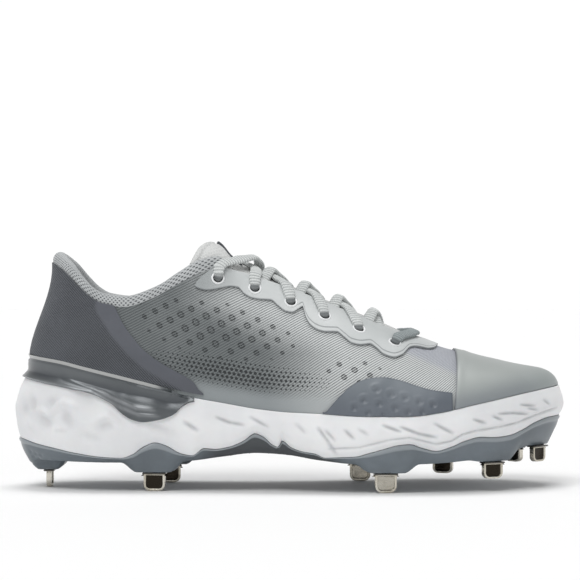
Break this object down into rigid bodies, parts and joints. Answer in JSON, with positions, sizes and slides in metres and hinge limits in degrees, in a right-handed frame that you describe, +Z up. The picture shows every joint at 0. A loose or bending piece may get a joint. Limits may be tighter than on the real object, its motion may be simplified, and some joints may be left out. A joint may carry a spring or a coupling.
{
  "type": "baseball cleat",
  "caption": "Low-cut baseball cleat for the right foot: knit upper, padded collar and tongue, laces, foam midsole and moulded plate with metal studs",
  "frame": {"origin": "middle of the shoe's footprint on the floor under the studs", "axes": "+X from heel to toe, +Y to the inner (medial) side, +Z up"},
  "size_m": [0.3, 0.1024, 0.1343],
  "materials": {
    "knit": "fine diagonal knit, light grey fading darker to the sole",
    "padding": "soft padded mesh",
    "foam": "white moulded foam, satin",
    "moulding": "blue-grey moulded plastic, satin",
    "steel": "pressed steel, satin with bright edges",
    "counter": "dark grey twill with a smooth welded edge",
    "film": "blue-grey film with rows of dimples",
    "toe_film": "grey-green film, smooth and satin",
    "trim": "smooth light grey film and eyelet rims",
    "wing": "pearly grey moulded plastic with raised ridges",
    "cord": "light grey flat woven lace"
  },
  "bodies": {
    "root": {"upper": "knit", "tongue": "padding", "insole": "padding", "midsole": "foam", "outsole_plate": "moulding", "stud_heel_rear": "steel", "stud_heel_lateral": "steel", "stud_heel_medial": "steel", "stud_ball_lateral": "steel", "stud_ball_medial": "steel", "stud_fore_lateral": "steel", "stud_fore_medial": "steel", "stud_toe_lateral": "steel", "stud_toe_medial": "steel", "collar_lining": "padding", "tongue_webbing": "counter", "heel_counter": "counter", "toe_cap": "toe_film", "side_overlay_lateral": "film", "side_overlay_medial": "film", "heel_clip": "wing", "eyestay": "trim", "eyelet_lateral_1": "trim", "eyelet_lateral_2": "trim", "eyelet_lateral_3": "trim", "eyelet_lateral_4": "trim", "eyelet_lateral_5": "trim", "eyelet_lateral_6": "trim", "eyelet_medial_1": "trim", "eyelet_medial_2": "trim", "eyelet_medial_3": "trim", "eyelet_medial_4": "trim", "eyelet_medial_5": "trim", "eyelet_medial_6": "trim", "lace_bar": "cord", "lace_crossing_1": "cord", "lace_crossing_2": "cord", "lace_crossing_3": "cord", "lace_crossing_4": "cord", "lace_crossing_5": "cord"}
  },
  "joints": []
}
